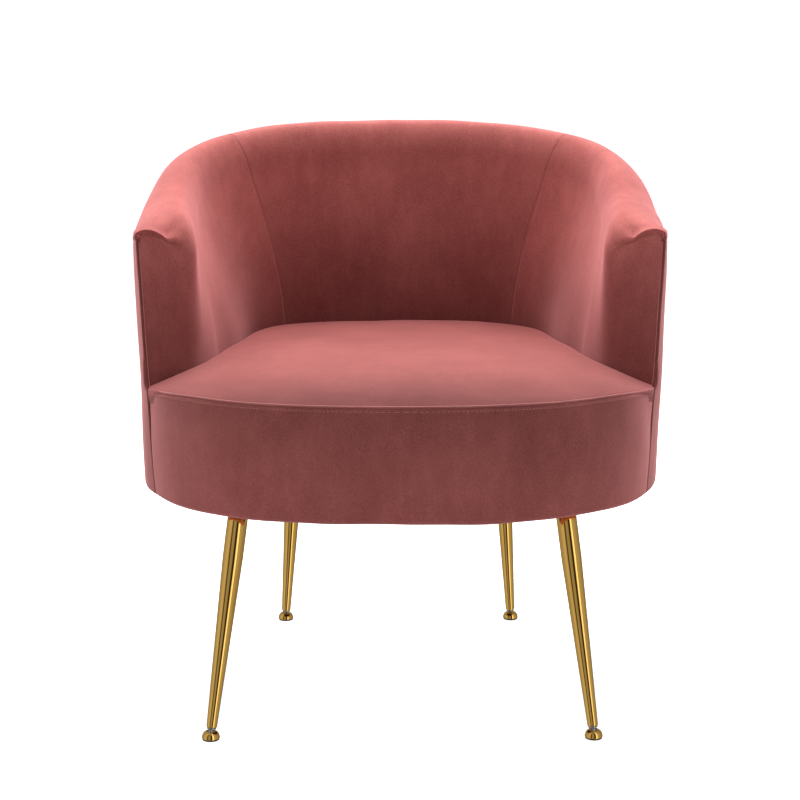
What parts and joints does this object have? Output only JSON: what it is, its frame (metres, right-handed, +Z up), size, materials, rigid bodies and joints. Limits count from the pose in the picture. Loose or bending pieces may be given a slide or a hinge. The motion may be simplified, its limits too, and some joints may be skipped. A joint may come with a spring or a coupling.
{
  "type": "upholstered armchair",
  "caption": "Upholstered velvet tub armchair with a curved wrap-around back, a tight crowned seat, splayed tapered metal legs and levelling feet.",
  "frame": {"origin": "on the floor under the middle of the chair's plan, halfway between the outside of the arms and halfway between the seat's front and the back", "axes": "+X to the right of a viewer who faces the chair, which is the sitter's left; -Y the way the sitter faces; +Z up"},
  "size_m": [0.711, 0.65, 0.76],
  "materials": {
    "velvet": "matt dusty-rose velvet with a soft sheen",
    "foam": "matt cream polyurethane foam",
    "wood": "unfinished pine and plywood",
    "fibreboard": "raw fibreboard",
    "black_cloth": "matt black non-woven cloth",
    "steel": "zinc-plated",
    "gold": "polished gold plating",
    "black_rubber": "matt"
  },
  "bodies": {
    "chair": {"inside_arm_cover_right": "velvet", "outside_arm_cover_right": "velvet", "side_rail_right": "wood", "arm_rail_right": "wood", "front_post_right": "wood", "rear_post_right": "wood", "outer_board_right": "fibreboard", "arm_foam_right": "foam", "inside_arm_cover_left": "velvet", "outside_arm_cover_left": "velvet", "side_rail_left": "wood", "arm_rail_left": "wood", "front_post_left": "wood", "rear_post_left": "wood", "outer_board_left": "fibreboard", "arm_foam_left": "foam", "inside_back_cover": "velvet", "outside_back_cover": "velvet", "apron_cover": "velvet", "seat_cover": "velvet", "front_rail": "wood", "back_rail": "wood", "top_back_rail": "wood", "front_cross_board": "wood", "rear_cross_board": "wood", "outer_board_back": "fibreboard", "back_foam": "foam", "apron_foam": "foam", "seat_foam": "foam", "seat_spring_1": "steel", "seat_spring_2": "steel", "seat_spring_3": "steel", "seat_spring_4": "steel", "deck_cloth": "black_cloth", "dust_cover": "black_cloth", "leg_front_right": "gold", "leg_plate_front_right": "steel", "leg_bolt_front_right": "steel", "leg_front_left": "gold", "leg_plate_front_left": "steel", "leg_bolt_front_left": "steel", "leg_rear_right": "gold", "leg_plate_rear_right": "steel", "leg_bolt_rear_right": "steel", "leg_rear_left": "gold", "leg_plate_rear_left": "steel", "leg_bolt_rear_left": "steel"},
    "glide_front_right": {"glide_stud_front_right": "steel"},
    "foot_front_right": {"foot_dome_front_right": "gold", "foot_pad_front_right": "black_rubber"},
    "glide_front_left": {"glide_stud_front_left": "steel"},
    "foot_front_left": {"foot_dome_front_left": "gold", "foot_pad_front_left": "black_rubber"},
    "glide_rear_right": {"glide_stud_rear_right": "steel"},
    "foot_rear_right": {"foot_dome_rear_right": "gold", "foot_pad_rear_right": "black_rubber"},
    "glide_rear_left": {"glide_stud_rear_left": "steel"},
    "foot_rear_left": {"foot_dome_rear_left": "gold", "foot_pad_rear_left": "black_rubber"}
  },
  "joints": [
    {"name": "level_front_right", "type": "slide", "parent": "chair", "child": "glide_front_right", "axis": [0.1297, -0.1122, -0.9852], "range_m": [0, 0.008]},
    {"name": "tilt_front_right", "type": "hinge", "parent": "glide_front_right", "child": "foot_front_right", "pos_m": [0.243, -0.275, 0.007], "axis": [0.6544, 0.7561, 0], "range_deg": [-26, 6]},
    {"name": "level_front_left", "type": "slide", "parent": "chair", "child": "glide_front_left", "axis": [-0.1297, -0.1122, -0.9852], "range_m": [0, 0.008]},
    {"name": "tilt_front_left", "type": "hinge", "parent": "glide_front_left", "child": "foot_front_left", "pos_m": [-0.243, -0.275, 0.007], "axis": [0.6544, -0.7561, 0], "range_deg": [-26, 6]},
    {"name": "level_rear_right", "type": "slide", "parent": "chair", "child": "glide_rear_right", "axis": [0.0706, 0.156, -0.9852], "range_m": [0, 0.008]},
    {"name": "tilt_rear_right", "type": "hinge", "parent": "glide_rear_right", "child": "foot_rear_right", "pos_m": [0.173, 0.245, 0.007], "axis": [-0.911, 0.4123, 0], "range_deg": [-26, 6]},
    {"name": "level_rear_left", "type": "slide", "parent": "chair", "child": "glide_rear_left", "axis": [-0.0706, 0.156, -0.9852], "range_m": [0, 0.008]},
    {"name": "tilt_rear_left", "type": "hinge", "parent": "glide_rear_left", "child": "foot_rear_left", "pos_m": [-0.173, 0.245, 0.007], "axis": [-0.911, -0.4123, 0], "range_deg": [-26, 6]}
  ]
}
